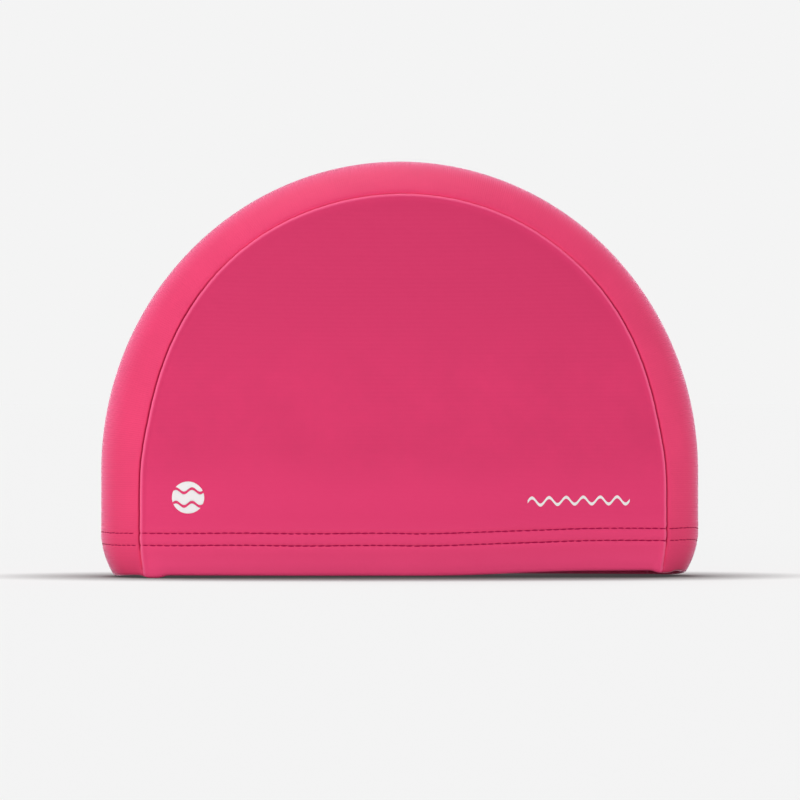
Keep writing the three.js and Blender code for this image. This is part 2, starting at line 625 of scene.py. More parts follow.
class Skin:
    """A mesh under construction from bmesh operators."""

    def __init__(self, name: str) -> None:
        """Starts an empty mesh with a UV map in millimetres.

        Args:
            name: The piece's name.
        """
        self.name = name
        self.mesh = bmesh.new()
        self.uv = self.mesh.loops.layers.uv.new("cloth")
        self.seam = self.mesh.loops.layers.uv.new("seam")

    def sheet(self, columns: int, rows: int, place: Callable[[int, int], GridPoint]) -> None:
        """Lays a grid onto a form.

        Args:
            columns: The number of faces along it.
            rows: The number of faces across it.
            place: Gives a grid point's place, its UV in metres and its seam distance and seam place.
        """
        made = bmesh.ops.create_grid(self.mesh, x_segments=columns, y_segments=rows, size=1.0)
        maps = {}
        for vertex in made["verts"]:
            i = round((vertex.co.x + 1) / 2 * columns)
            j = round((vertex.co.y + 1) / 2 * rows)
            vertex.co, uv, seam = place(i, j)
            maps[vertex] = (Vector(uv) / MM, Vector(seam) / MM)
        for loop in corners_of(made):
            loop[self.uv].uv, loop[self.seam].uv = maps[loop.vert]

    def grain(self, middle: Vector, along: Vector, out: Vector, length: float, radius: float) -> None:
        """Lays one short thread, thick in its middle and sinking in at its ends.

        Args:
            middle: The middle of the thread.
            along: The direction that it runs in.
            out: The direction out of the cloth.
            length: Its length.
            radius: Its radius.
        """
        ahead = along.normalized()
        beside = out.cross(ahead).normalized()
        up = ahead.cross(beside)
        turn = Matrix((beside, up, ahead)).transposed().to_4x4()
        size = Matrix.Diagonal((radius, radius, length / 2, 1.0))
        made = bmesh.ops.create_uvsphere(
            self.mesh,
            u_segments=6,
            v_segments=6,
            radius=1.0,
            matrix=Matrix.Translation(middle) @ turn @ size,
            calc_uvs=True,
        )
        for loop in corners_of(made):
            away = loop.vert.co - middle
            loop[self.uv].uv = Vector((away.dot(ahead) / MM, away.dot(beside) / MM))

    def finish(self, outward: Vector | None = None, weld: float = 0.0) -> Piece:
        """Closes the mesh and makes it an object.

        Args:
            outward: A direction that the face furthest that way has to look in.
            weld: The distance under which points are merged, or 0.

        Returns:
            The object, in the scene.
        """
        if weld:
            bmesh.ops.remove_doubles(self.mesh, verts=self.mesh.verts, dist=weld)
        if outward is not None:
            self.mesh.normal_update()
            last = max(self.mesh.faces, key=lambda face: face.calc_center_median().dot(outward))
            if last.normal.dot(outward) < 0:
                bmesh.ops.reverse_faces(self.mesh, faces=self.mesh.faces)
        for face in self.mesh.faces:
            face.smooth = True
        data = bpy.data.meshes.new(self.name)
        self.mesh.to_mesh(data)
        self.mesh.free()
        piece = bpy.data.objects.new(self.name, data)
        bpy.context.scene.collection.objects.link(piece)
        return piece


def thicken(piece: Piece, thickness: float) -> None:
    """Gives a sheet its thickness, half to each side.

    Args:
        piece: The sheet.
        thickness: The thickness.
    """
    wall = piece.modifiers.new("cloth_thickness", "SOLIDIFY")
    wall.thickness = thickness
    wall.offset = 0.0


def dress(piece: Piece, finish: "Finish") -> Piece:
    """Gives a piece its material and its body.

    Args:
        piece: The piece.
        finish: The finish.

    Returns:
        The piece.
    """
    piece.data.materials.append(finish.material())
    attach(piece, "root")
    return piece


class Weaver:
    """The node tree of one material under construction."""

    def __init__(self, name: str) -> None:
        """Starts a material with a plain shader.

        Args:
            name: The material's name.
        """
        self.material = bpy.data.materials.new(name)
        self.material.use_nodes = True
        self.tree = self.material.node_tree
        self.shader = next(n for n in self.tree.nodes if n.type == "BSDF_PRINCIPLED")

    def set(self, **values: float | tuple | Socket) -> None:
        """Sets or links inputs of the shader, named with _ for a space."""
        for name, value in values.items():
            self.plug(self.shader.inputs[name.replace("_", " ")], value)

    def plug(self, socket: Socket, value: float | tuple | Socket) -> None:
        """Links a socket to another, or sets its value.

        Args:
            socket: The input.
            value: An output socket, a number or a tuple.
        """
        if isinstance(value, Socket):
            self.tree.links.new(value, socket)
        else:
            socket.default_value = value

    def node(self, kind: str, inputs: dict, **settings: object) -> bpy.types.Node:
        """Adds a node.

        Args:
            kind: The node's type.
            inputs: Its inputs, by name or number.
            **settings: Its own settings.

        Returns:
            The node.
        """
        made = self.tree.nodes.new(kind)
        for name, value in settings.items():
            setattr(made, name, value)
        for name, value in inputs.items():
            self.plug(made.inputs[name], value)
        return made

    def math(self, operation: str, first: float | Socket, second: float | Socket = 0.0) -> Socket:
        """Adds a Math node and gives its output."""
        return self.node("ShaderNodeMath", {0: first, 1: second}, operation=operation).outputs[0]

    def uv(self, name: str) -> tuple[Socket, ...]:
        """Reads a UV map in millimetres.

        Args:
            name: The map.

        Returns:
            The vector, its U and its V.
        """
        read = self.node("ShaderNodeUVMap", {}, uv_map=name).outputs[0]
        parts = self.node("ShaderNodeSeparateXYZ", {0: read}).outputs
        return read, parts[0], parts[1]

    def ripple(self, place: Socket, period: float, phase: float | Socket = 0.0) -> Socket:
        """Gives a sine of height 1 along a coordinate, with its phase in radians."""
        turn = self.math("MULTIPLY", place, 2 * math.pi / period)
        return self.math("SINE", self.math("ADD", turn, phase))

    def near(self, place: Socket, centre: float, width: float) -> Socket:
        """Gives 1 where a coordinate is at a centre, and 0 from a width away."""
        far = self.math("ABSOLUTE", self.math("SUBTRACT", place, centre))
        return self.eased(far, width, 0.0)

    def eased(self, place: Socket, zero: float, one: float, least: float = 0.0) -> Socket:
        """Eases a coordinate from a least result at one place (zero) to 1 at another (one)."""
        return self.node(
            "ShaderNodeMapRange",
            {"Value": place, "From Min": zero, "From Max": one, "To Min": least, "To Max": 1.0},
            interpolation_type="SMOOTHSTEP",
        ).outputs[0]

    def noise(self, vector: Socket, scale: float, detail: float = 2.0) -> Socket:
        """Gives a noise of about -0.5 to 0.5, with scale cells for each unit of the vector."""
        read = self.node(
            "ShaderNodeTexNoise", {"Vector": vector, "Scale": scale, "Detail": detail}
        ).outputs[0]
        return self.math("SUBTRACT", read, 0.5)

    def near_rows(self, place: Socket, rows: tuple[float, float], width: float) -> Socket:
        """Gives 1 at either of two rows and 0 from a width away."""
        first, second = (self.near(place, row, width) for row in rows)
        return self.math("MAXIMUM", first, second)

    def total(self, *terms: tuple[float, Socket], around: float = 0.0) -> Socket:
        """Adds up weighted values.

        Args:
            *terms: Weights and sockets.
            around: The sum where every value is 0.

        Returns:
            The sum's socket.
        """
        weight, value = terms[0]
        result = self.math("MULTIPLY", value, weight)
        for weight, value in terms[1:]:
            result = self.math("ADD", result, self.math("MULTIPLY", value, weight))
        return self.math("ADD", result, around) if around else result

    def shade(self, dark: Colour, light: Colour, share: Socket) -> Socket:
        """Mixes two colours: dark at share 0 and light at share 1."""
        return self.blend((*dark, 1.0), light, share)

    def blend(self, body: Colour | Socket, over: Colour, share: Socket) -> Socket:
        """Lays a colour over another.

        Args:
            body: The colour at share 0, with its alpha, or its socket.
            over: The colour at share 1.
            share: The share's socket, which is held between 0 and 1.

        Returns:
            The colour's socket.
        """
        mix = self.node("ShaderNodeMix", {}, data_type="RGBA", clamp_factor=True)
        self.plug(mix.inputs[0], share)
        first, second = (s for s in mix.inputs if s.type == "RGBA")
        self.plug(first, body)
        self.plug(second, (*over, 1.0))
        return next(s for s in mix.outputs if s.type == "RGBA")

    def bump(self, height: Socket, distance: float, under: Socket | None = None) -> Socket:
        """Turns a height into a normal.

        Args:
            height: The height's socket.
            distance: How far a height of 1 stands out.
            under: A normal to add it to.

        Returns:
            The normal's socket.
        """
        inputs = {"Height": height, "Distance": distance, "Strength": 1.0}
        if under is not None:
            inputs["Normal"] = under
        return self.node("ShaderNodeBump", inputs).outputs[0]


class Finish:
    """A finish of one of the cap's materials, which makes its material once."""

    def material(self) -> bpy.types.Material:
        """Gives the finish's material.

        Returns:
            The material, made on the first call.
        """
        name = type(self).__name__
        if name not in bpy.data.materials:
            self.weave(Weaver(name))
        return bpy.data.materials[name]

    def weave(self, weaver: Weaver) -> None:
        """Builds the material's nodes."""
        raise NotImplementedError


@dataclass(frozen=True)
class SewnKnit(Finish):
    """A knit that the hem's two rows of stitches pull into small ripples."""

    stitch: float = STITCH_PITCH
    rows: tuple[float, float] = STITCH_ROWS

    def pull(self, weaver: Weaver, along: Socket, height: Socket, width: float) -> Socket:
        """Gives the ripples beside the rows.

        Args:
            weaver: The material to build on.
            along: The coordinate along the rows.
            height: The coordinate across them.
            width: How far from a row the ripples reach.

        Returns:
            The ripples' socket.
        """
        holes = weaver.near_rows(height, self.rows, width)
        return weaver.math("MULTIPLY", holes, weaver.ripple(along, self.stitch))


def tint(colour: Colour, share: float) -> Colour:
    """Scales a colour."""
    return tuple(part * share for part in colour)


@dataclass(frozen=True)
class PanelKnit(SewnKnit):
    """The panels' matt fine knit: tiny courses, a dull coat, a painted highlight on the seam roll
    (partly the stretched cloth's paler tone), painted shade in the stitch grooves and towards the top,
    and painted floor light towards the hem.
    """

    colour: Colour = (0.71, 0.038, 0.143)
    # Painted highlight on the seam ridge, partly the stretched cloth's paler tone.
    ridge_highlight_colour: Colour = (0.98, 0.125, 0.290)
    # Painted shade along the hem's stitch rows, darkening their grooves.
    groove_shade_colour: Colour = (0.34, 0.002, 0.055)
    # Painted floor bounce light: the lower panel, the hem and its fold grow paler towards the floor;
    # the hem band is partly the doubled cloth's own tone.
    low_bounce_colour: Colour = (0.80, 0.046, 0.168)
    hem_tone_and_bounce_colour: Colour = (0.90, 0.063, 0.200)
    fold_bounce_colour: Colour = (0.97, 0.072, 0.224)
    # Painted shade: the top of the panel is darkened by this share.
    top_shade_gain: float = 0.955
    course: float = 0.42
    wale: float = 0.55
    roughness: float = 0.74

    def weave(self, weaver: Weaver) -> None:
        """Builds the knit.

        Args:
            weaver: The material to build on.
        """
        place, u, v = weaver.uv("cloth")
        seam = weaver.uv("seam")[1]
        bend = weaver.math("ABSOLUTE", weaver.ripple(u, 2 * self.wale))
        knit = weaver.ripple(v, self.course, weaver.math("MULTIPLY", bend, 2.0))
        fuzz = weaver.noise(place, 4.0, 3.0)
        patch = weaver.noise(place, 0.05, 3.0)
        soft = weaver.noise(place, 0.22, 2.0)
        # Mask of the stitch rows, where shade is painted into their grooves.
        painted_groove_shade = weaver.near_rows(v, self.rows, 0.50)
        share = weaver.total((1.3, patch), (0.45, soft), (0.20, knit), (0.50, fuzz), around=0.5)
        body = weaver.shade(tint(self.colour, 0.93), tint(self.colour, 1.07), share)
        # Painted shade towards the top of the panel.
        body = weaver.blend(body, tint(self.colour, self.top_shade_gain), weaver.eased(v, 58.0, 92.0))
        # Painted floor bounce light, paler down to the hem and its fold.
        body = weaver.blend(body, self.low_bounce_colour, weaver.eased(v, 44.0, 22.0))
        body = weaver.blend(body, self.hem_tone_and_bounce_colour, weaver.eased(v, 22.0, 6.0))
        body = weaver.blend(body, self.fold_bounce_colour, weaver.eased(v, 8.5, 3.5))
        # Painted shade in the stitch grooves.
        body = weaver.blend(body, self.groove_shade_colour, weaver.math("MULTIPLY", painted_groove_shade, 0.75))
        # Mask of the seam roll, where the painted ridge highlight goes.
        roll = weaver.near(seam, 0.75, 0.58)
        normal = weaver.bump(weaver.total((1.0, soft), (0.6, patch)), 0.10 * MM)
        normal = weaver.bump(self.pull(weaver, u, v, 1.1), 0.12 * MM, normal)
        normal = weaver.bump(weaver.total((0.5, knit), (0.7, fuzz)), 0.036 * MM, normal)
        weaver.set(
            Base_Color=weaver.blend(body, self.ridge_highlight_colour, roll),
            Roughness=weaver.total((0.10, soft), (0.12, fuzz), around=self.roughness),
            Normal=normal,
            Specular_IOR_Level=0.20,
            Sheen_Weight=0.03,
            Sheen_Roughness=0.5,
            Sheen_Tint=(1.0, 0.45, 0.60, 1.0),
        )


@dataclass(frozen=True)
class StripRib(SewnKnit):
    """The strip's ribbed knit: fine ribs with painted shade in their grooves, a pale sheen, a paler
    tone towards its middle that is partly painted sheen and partly stretched cloth, and painted shade
    in the seam crease.
    """

    colour: Colour = (0.84, 0.060, 0.172)
    # Paler towards the strip's middle: partly the stretched cloth's tone, partly a painted sheen.
    stretch_and_sheen_colour: Colour = (0.93, 0.124, 0.275)
    # Painted shade in the seam crease.
    crease_shade_colour: Colour = (0.34, 0.003, 0.040)
    rib: float = 0.72
    loop: float = 0.5
    roughness: float = 0.58

    def weave(self, weaver: Weaver) -> None:
        """Builds the ribs.

        Args:
            weaver: The material to build on.
        """
        place, u, v = weaver.uv("cloth")
        seam, height = weaver.uv("seam")[1:]
        wander = weaver.math("MULTIPLY", weaver.noise(place, 0.06, 1.0), 1.2)
        fine = weaver.ripple(u, self.rib, wander)
        broad = weaver.ripple(u, 2 * self.rib, wander)
        loops = weaver.ripple(v, self.loop, weaver.math("MULTIPLY", fine, 0.8))
        fuzz = weaver.noise(place, 4.0, 3.0)
        patch = weaver.noise(place, 0.05, 3.0)
        soft = weaver.noise(place, 0.25, 2.0)
        stretch = weaver.eased(seam, 9.0, 22.0, 0.35)
        # Painted shade of the ribs: crests lighter and grooves darker, strongest towards the strip's
        # middle.
        painted_groove_shade = weaver.math("MULTIPLY", weaver.total((0.13, fine), (0.05, broad)), stretch)
        share = weaver.total((1.0, painted_groove_shade), (0.03, loops), (0.9, patch), (0.40, fuzz), around=0.5)
        normal = weaver.bump(weaver.total((1.0, soft), (0.6, patch)), 0.08 * MM)
        normal = weaver.bump(self.pull(weaver, v, height, 0.9), 0.06 * MM, normal)
        ribs = weaver.total((0.9, fine), (0.2, broad), (0.2, loops))
        ribs = weaver.math("MULTIPLY", ribs, stretch)
        normal = weaver.bump(weaver.total((1.0, ribs), (0.4, fuzz)), 0.042 * MM, normal)
        # Painted shade in the seam crease, faded out at the hem and over the crown.
        crease = weaver.eased(seam, 0.78, 0.42)
        crease = weaver.math("MULTIPLY", crease, weaver.eased(height, 8.0, 11.0))
        crease = weaver.math("MULTIPLY", crease, weaver.eased(height, 118.0, 92.0))
        body = weaver.shade(tint(self.colour, 0.90), tint(self.colour, 1.08), share)
        # Partly painted sheen and partly stretched cloth, paler away from the seams.
        body = weaver.blend(body, self.stretch_and_sheen_colour, weaver.eased(seam, 10.0, 26.0))
        weaver.set(
            Base_Color=weaver.blend(body, self.crease_shade_colour, crease),
            Roughness=weaver.total((0.05, fine), (0.12, fuzz), around=self.roughness),
            Normal=normal,
            Specular_IOR_Level=0.06,
            Sheen_Weight=1.0,
            Sheen_Roughness=0.18,
            Sheen_Tint=(1.0, 0.72, 0.88, 1.0),
        )


@dataclass(frozen=True)
class SeamEdge(Finish):
    """The turned-in cloth edges behind a seam: the same cloth, uncoated and a little fuzzy."""

    colour: Colour = (0.78, 0.075, 0.17)

    def weave(self, weaver: Weaver) -> None:
        """Builds the fuzzy knit.

        Args:
            weaver: The material to build on.
        """
        place, u, v = weaver.uv("cloth")
        knit = weaver.ripple(u, 0.6, weaver.math("MULTIPLY", weaver.ripple(v, 0.5), 0.8))
        fuzz = weaver.noise(place, 3.0, 3.0)
        share = weaver.total((0.25, knit), (0.8, fuzz), around=0.5)
        weaver.set(
            Base_Color=weaver.shade(tint(self.colour, 0.82), tint(self.colour, 1.08), share),
            Roughness=weaver.total((0.15, fuzz), around=0.8),
            Normal=weaver.bump(weaver.total((0.5, knit), (0.8, fuzz)), 0.06 * MM),
            Specular_IOR_Level=0.25,
            Sheen_Weight=0.2,
            Sheen_Tint=(1.0, 0.5, 0.65, 1.0),
        )


@dataclass(frozen=True)
class SewingThread(Finish):
    """Dull dark thread of twisted plies."""

    colour: Colour = (0.46, 0.003, 0.072)

    def weave(self, weaver: Weaver) -> None:
        """Builds the twist.

        Args:
            weaver: The material to build on.
        """
        place, u, v = weaver.uv("cloth")
        twist = weaver.ripple(weaver.total((1.0, u), (1.2, v)), 0.32)
        fuzz = weaver.noise(place, 9.0, 2.0)
        share = weaver.total((0.35, twist), (0.5, fuzz), around=0.5)
        weaver.set(
            Base_Color=weaver.shade(tint(self.colour, 0.75), tint(self.colour, 1.15), share),
            Roughness=weaver.total((0.2, fuzz), around=0.70),
            Normal=weaver.bump(weaver.total((0.7, twist), (0.3, fuzz)), 0.03 * MM),
            Specular_IOR_Level=0.12,
        )


@dataclass(frozen=True)
class TransferPrint(Finish):
    """Thin matt white print that shows a little of the knit under it."""

    colour: Colour = (0.90, 0.87, 0.875)

    def weave(self, weaver: Weaver) -> None:
        """Builds the print.

        Args:
            weaver: The material to build on.
        """
        place, u, v = weaver.uv("cloth")
        knit = weaver.ripple(v, 0.42, weaver.ripple(u, 1.1))
        fuzz = weaver.noise(place, 2.5, 3.0)
        share = weaver.total((0.15, knit), (0.9, fuzz), around=0.6)
        weaver.set(
            Base_Color=weaver.shade(tint(self.colour, 0.94), self.colour, share),
            Roughness=weaver.total((0.15, fuzz), around=0.6),
            Normal=weaver.bump(weaver.total((0.5, knit), (0.5, fuzz)), 0.012 * MM),
            Specular_IOR_Level=0.35,
        )


@dataclass
class CentreStrip:
    """The strip of ribbed cloth that runs from rim to rim over the crown."""

    cap: DressedCap
    flat_width: float = 59 * MM
    flat_length: float = 412 * MM

    def build(self) -> Piece:
        """Builds and dresses the strip.

        Returns:
            The piece.
        """
        stations = self.cap.hem.stations(self.cap.form)
        columns = [self.cap.columns(Cloth.STRIP, station) for station in stations]
        middle = len(columns[0]) - 1

        def place(i: int, j: int) -> GridPoint:
            """Places a grid point: i counts the stations and j the columns from seam to seam."""
            side = -1 if j <= middle else 1
            column = columns[i][j if j <= middle else 2 * middle - j]
            across = side * (columns[i][-1][0] - column[0])
            point = self.cap.point(Cloth.STRIP, stations[i], column, side)
            return point, (stations[i].along, across), (column[0], stations[i].height)

        skin = Skin("centre_strip_cloth")
        skin.sheet(len(stations) - 1, 2 * middle, place)
        piece = skin.finish(outward=Vector((0, 0, 1)))
        thicken(piece, 2 * self.cap.half_cloth)
        dress(piece, StripRib())
        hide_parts("centre_strip")
        return piece


@dataclass
class SidePanel:
    """A D-shaped side panel of matt cloth, with its part of the hem."""

    cap: DressedCap
    side: Side
    flat_width: float = 177 * MM
    flat_height: float = 141 * MM
    flat_area: float = 0.0207

    @property
    def name(self) -> str:
        """The piece's name."""
        return f"{self.side.name.lower()}_panel_cloth"

    def build(self, with_pieces: Iterable[Piece]) -> Piece:
        """Builds and dresses the panel.

        Args:
            with_pieces: The turned-in edges and prints that go with it; not used.

        Returns:
            The piece.
        """
        stations = self.cap.hem.stations(self.cap.form)
        columns = [self.cap.columns(Cloth.PANEL, station) for station in stations]

        def place(i: int, j: int) -> GridPoint:
            """Places a grid point: i counts the stations and j the columns from the seam."""
            station, column = stations[i], columns[i][j]
            point = self.cap.point(Cloth.PANEL, station, column, self.side.value)
            flat = self.cap.form.panel_place(station, column[0])[1]
            up = flat.y if station.height > self.cap.form.wall_height else station.height
            return point, (flat.x, up), (column[0], station.along)

        skin = Skin(self.name)
        skin.sheet(len(stations) - 1, len(columns[0]) - 1, place)
        piece = skin.finish(outward=Vector((0, self.side.value, 0)), weld=0.002 * MM)
        thicken(piece, 2 * self.cap.half_cloth)
        dress(piece, PanelKnit())
        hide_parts(f"{self.side.name.lower()}_side_panel")
        return piece


@dataclass
class SeamAllowance:
    """The cloth edges turned in behind a long seam, and the overlock thread that binds them."""

    cap: DressedCap
    side: Side
    width: float = 6.5 * MM
    thickness: float = 1.5 * MM
    gap: float = 0.3 * MM
    stitch: float = 2.2 * MM
    thread: float = 0.17 * MM
    thread_lift: float = 0.08 * MM
    thread_root: float = 2.2 * MM
    tip_inset: float = 0.2 * MM
    rim_out: float = 0.1 * MM
    hem_clear: float = 0.2 * MM
    columns: int = 6

    def stations(self) -> list[Station]:
        """Lists the stations that the allowance passes, above the hem."""
        least = self.cap.hem.raw_edge + self.hem_clear
        return [s for s in self.cap.hem.stations(self.cap.form) if s.height > least]

    def point(self, station: Station, distance: float, lift: float) -> Vector:
        """Gives a point at a distance from the seam line, lifted out of the band's middle."""
        depth = self.cap.hem.ply / 2 + self.gap + self.thickness / 2
        return self.cap.form.panel_point(station, distance, self.side.value, lift - depth)

    def build(self) -> list[Piece]:
        """Builds and dresses the edges and their thread.

        Returns:
            The two pieces.
        """
        stations = self.stations()
        name = self.side.name.lower()

        def place(i: int, j: int) -> GridPoint:
            """Places a grid point: i counts the stations and j the columns from the seam."""
            distance = self.width * j / self.columns
            along = stations[i].along
            return self.point(stations[i], distance, 0.0), (along, distance), (distance, along)

        skin = Skin(f"{name}_seam_edges")
        skin.sheet(len(stations) - 1, self.columns, place)
        edges = skin.finish(outward=Vector((0, self.side.value, 0)))
        thicken(edges, self.thickness)
        dress(edges, SeamEdge())
        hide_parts(f"{name}_seam_allowance")
        return [edges, self.overlock(f"{name}_overlock_thread")]

    def overlock(self, name: str) -> Piece:
        """Binds the raw edge with slanted threads over its face and short ones round its edge.

        Args:
            name: The piece's name.

        Returns:
            The thread.
        """
        skin = Skin(name)
        stations = self.stations()
        inner = -self.thickness / 2 - self.thread_lift
        due = stations[0].along
        for before, after in zip(stations, stations[1:]):
            if after.along < due + self.stitch:
                continue
            due = after.along
            root = self.point(before, self.thread_root, inner)
            tip = self.point(after, self.width - self.tip_inset, inner)
            rim = self.point(after, self.width + self.rim_out, 0.0)
            inward = (rim - self.point(after, self.width + self.rim_out, MM)).normalized()
            skin.grain((root + tip) / 2, tip - root, inward, (tip - root).length * 1.1, self.thread)
            skin.grain(rim, inward, tip - root, self.thickness * 1.25, self.thread)
        return dress(skin.finish(), SewingThread())


class HemFace(Enum):
    """The face of the hem that a run of stitches lies on."""

    OUTSIDE = "outside"
    INSIDE = "inside"


@dataclass
class HemStitching:
    """The two rows of stitches round the hem, and the looper thread between them inside."""

    cap: DressedCap
    pitch: float = STITCH_PITCH * MM
    stitch: float = 2.36 * MM
    radius: float = 0.30 * MM
    strip_share: float = 0.68
    seam_clear: float = 1.2 * MM
    looper_radius: float = 0.16 * MM
    inside_lift: float = 0.06 * MM
    outside_sink: float = 0.02 * MM
    sample: float = 0.35 * MM
    wander: float = 0.16 * MM
    wander_length: float = 7.3 * MM

    def run(self, row: float, face: HemFace) -> list[tuple[Vector, Vector, float]]:
        """Follows a row round the whole rim in small steps.

        Args:
            row: The row's height.
            face: The hem's face.

        Returns:
            Points with the direction out of the cloth and the share of the thread's thickness that
            shows, which is 0 where a seam lies in the way.
        """
        inside = face is HemFace.INSIDE
        stations = {end: self.cap.hem.row_station(self.cap.form, end, row, inside) for end in (-1, 1)}
        up = -1.0 if inside else 1.0
        surface = up * (self.cap.half_cloth + (self.inside_lift if inside else -self.outside_sink))
        quarters = (
            (Cloth.PANEL, -1, -1, True),
            (Cloth.PANEL, 1, -1, False),
            (Cloth.STRIP, 1, -1, True),
            (Cloth.STRIP, 1, 1, False),
            (Cloth.PANEL, 1, 1, True),
            (Cloth.PANEL, -1, 1, False),
            (Cloth.STRIP, -1, 1, True),
            (Cloth.STRIP, -1, -1, False),
        )
        points = []
        for cloth, end, side, from_seam in quarters:
            columns = self.cap.columns(cloth, stations[end])
            length = columns[-1][0]
            steps = max(2, round(length / self.sample))
            for step in range(steps):
                way = step / steps
                distance = length * (way if from_seam else 1 - way)
                column = self.column(columns, distance)
                wave = self.wander * math.sin(distance / self.wander_length + end + 2 * side)
                station = replace(stations[end], z=stations[end].z + wave)
                point = self.cap.point(cloth, station, column, side, surface)
                base = self.cap.point(cloth, station, column, side, surface - up * MM)
                share = self.strip_share if cloth is Cloth.STRIP else 1.0
                seen = share if distance > self.seam_clear else 0.0
                points.append((point, (point - base).normalized(), seen))
        return points

    @staticmethod
    def column(columns: list[Column], distance: float) -> Column:
        """Finds the roll at a distance from the seam.

        Args:
            columns: The columns of a sheet.
            distance: The flat distance from the seam.

        Returns:
            The flat distance, the rolled distance and the lift.
        """
        for before, after in zip(columns, columns[1:]):
            if before[0] <= distance <= after[0]:
                share = (distance - before[0]) / (after[0] - before[0])
                return tuple(a + (b - a) * share for a, b in zip(before, after))
        return (distance, distance, 0.0)

    def build(self) -> list[Piece]:
        """Builds and dresses the rows and the looper thread.

        Returns:
            The pieces.
        """
        names = ("hem_lower_stitches", "hem_upper_stitches")
        rows = zip(names, self.cap.hem.stitch_rows)
        return [self.outside_row(name, row) for name, row in rows] + [self.looper()]

    def places(self, row: float, face: HemFace) -> list[tuple[Vector, Vector, Vector, float]]:
        """Finds the stitches' places along a row.

        Args:
            row: The row's height.
            face: The hem's face.

        Returns:
            For each place the point, the directions along and out, and the thread's share.
        """
        run = self.run(row, face)
        made = []
        due = 0.0
        for (before, _, _), (after, out, share) in zip(run, run[1:] + run[:1]):
            due += (after - before).length
            if due >= self.pitch:
                due -= self.pitch
                made.append((after, after - before, out, share))
        return made

    def outside_row(self, name: str, row: float) -> Piece:
        """Sews one row of dashes on the outside.

        Args:
            name: The piece's name.
            row: The row's height.

        Returns:
            The piece.
        """
        skin = Skin(name)
        for count, (middle, along, out, share) in enumerate(self.places(row, HemFace.OUTSIDE)):
            if not share:
                continue
            uneven = math.sin(12.9898 * count + row / MM)
            turned = along.normalized() + Vector((0, 0, 0.05 * uneven))
            shift = Vector((0, 0, 0.05 * MM * math.sin(3.7 * count)))
            length = self.stitch * (1 + 0.07 * uneven)
            skin.grain(middle + shift, turned, out, length, share * self.radius)
        return dress(skin.finish(), SewingThread())

    def looper(self) -> Piece:
        """Crosses the thread between the rows on the inside, over the raw edge.

        Returns:
            The piece.
        """
        skin = Skin("hem_looper_thread")
        low, high = (self.places(row, HemFace.INSIDE) for row in self.cap.hem.stitch_rows)
        for (foot, _, out, share), (head, along, _, _) in zip(low, high):
            if not share:
                continue
            back = head - along.normalized() * self.pitch
            for end in (head, back):
                length = (end - foot).length * 1.1
                skin.grain((foot + end) / 2, end - foot, out, length, self.looper_radius)
        return dress(skin.finish(), SewingThread())


class MarkShape(Enum):
    """The plain shapes that the near panel's print is made of."""

    ROUNDEL = "roundel"
    RIPPLE = "ripple"


@dataclass
class PrintedMark:
    """A plain white print on the near panel: a roundel crossed by waves, or one run of ripples."""

    cap: DressedCap
    shape: MarkShape
    x: float
    z: float
    half_width: float
    wave_height: float
    wave_length: float
    stroke: float
    thickness: float = 0.06 * MM
    wave_spacing: float = 0.42
    columns: int = 96
    rows: int = 6

    def point(self, x: float, z: float) -> Vector:
        """Gives the point of the near panel's outer face at a place seen from the front."""
        form, hem = self.cap.form, self.cap.hem
        end = -1 if x < 0 else 1
        station = hem.wall_station(form, end, (z, hem.ply / 2, z, 1.0))
        hub, edge = form.panel_ray(station)
        distance = form.panel_length(station) * (1 - abs(x) / (edge - hub).length)
        lift = self.cap.half_cloth + self.thickness
        return self.cap.point(Cloth.PANEL, station, (distance, distance, 0.0), -1, lift)

    def bands(self) -> list[Callable[[float], tuple[float, float]]]:
        """Lists the print's bands.

        Returns:
            For each band a function from x to its lower and upper edge, around the mark's middle.
        """

        def wave(x: float) -> float:
            """Gives the wave's height at x."""
            return self.wave_height * math.sin(2 * math.pi * x / self.wave_length)

        if self.shape is MarkShape.RIPPLE:
            return [lambda x: (wave(x) - self.stroke / 2, wave(x) + self.stroke / 2)]

        def slice_between(low: float, high: float) -> Callable[[float], tuple[float, float]]:
            """Makes the band between two heights, cut off by the roundel's edge."""

            def edges(x: float) -> tuple[float, float]:
                """Gives the band's lower and upper edge at x."""
                chord = math.sqrt(max(0.0, self.half_width**2 - x**2))
                return tuple(max(-chord, min(chord, wave(x) + level)) for level in (low, high))

            return edges

        gap, reach = self.stroke / 2, 3 * self.half_width
        apart = self.wave_spacing * self.half_width
        return [
            slice_between(-reach, -apart - gap),
            slice_between(-apart + gap, apart - gap),
            slice_between(apart + gap, reach),
        ]

    def build(self) -> Piece:
        """Builds and dresses the print.

        Returns:
            The piece.
        """
        skin = Skin(f"print_{self.shape.value}")
        for band in self.bands():

            def place(i: int, j: int) -> GridPoint:
                """Places a grid point: i counts along the mark and j from its lower edge."""
                x = -self.half_width * math.cos(math.pi * i / self.columns)
                low, high = band(x)
                z = low + (high - low) * j / self.rows
                return self.point(self.x + x, self.z + z), (x, z), (0.0, 0.0)

            skin.sheet(self.columns, self.rows, place)
        bmesh.ops.dissolve_degenerate(skin.mesh, edges=skin.mesh.edges, dist=0.0005 * MM)
        piece = skin.finish(outward=Vector((0, -1, 0)))
        thicken(piece, self.thickness)
        return dress(piece, TransferPrint())


@dataclass(frozen=True)
class Lamp:
    """One far soft light: its name, its strength, where it shines from and how wide it looks."""

    name: str
    strength: float
    towards: tuple[float, float, float]
    angle: float


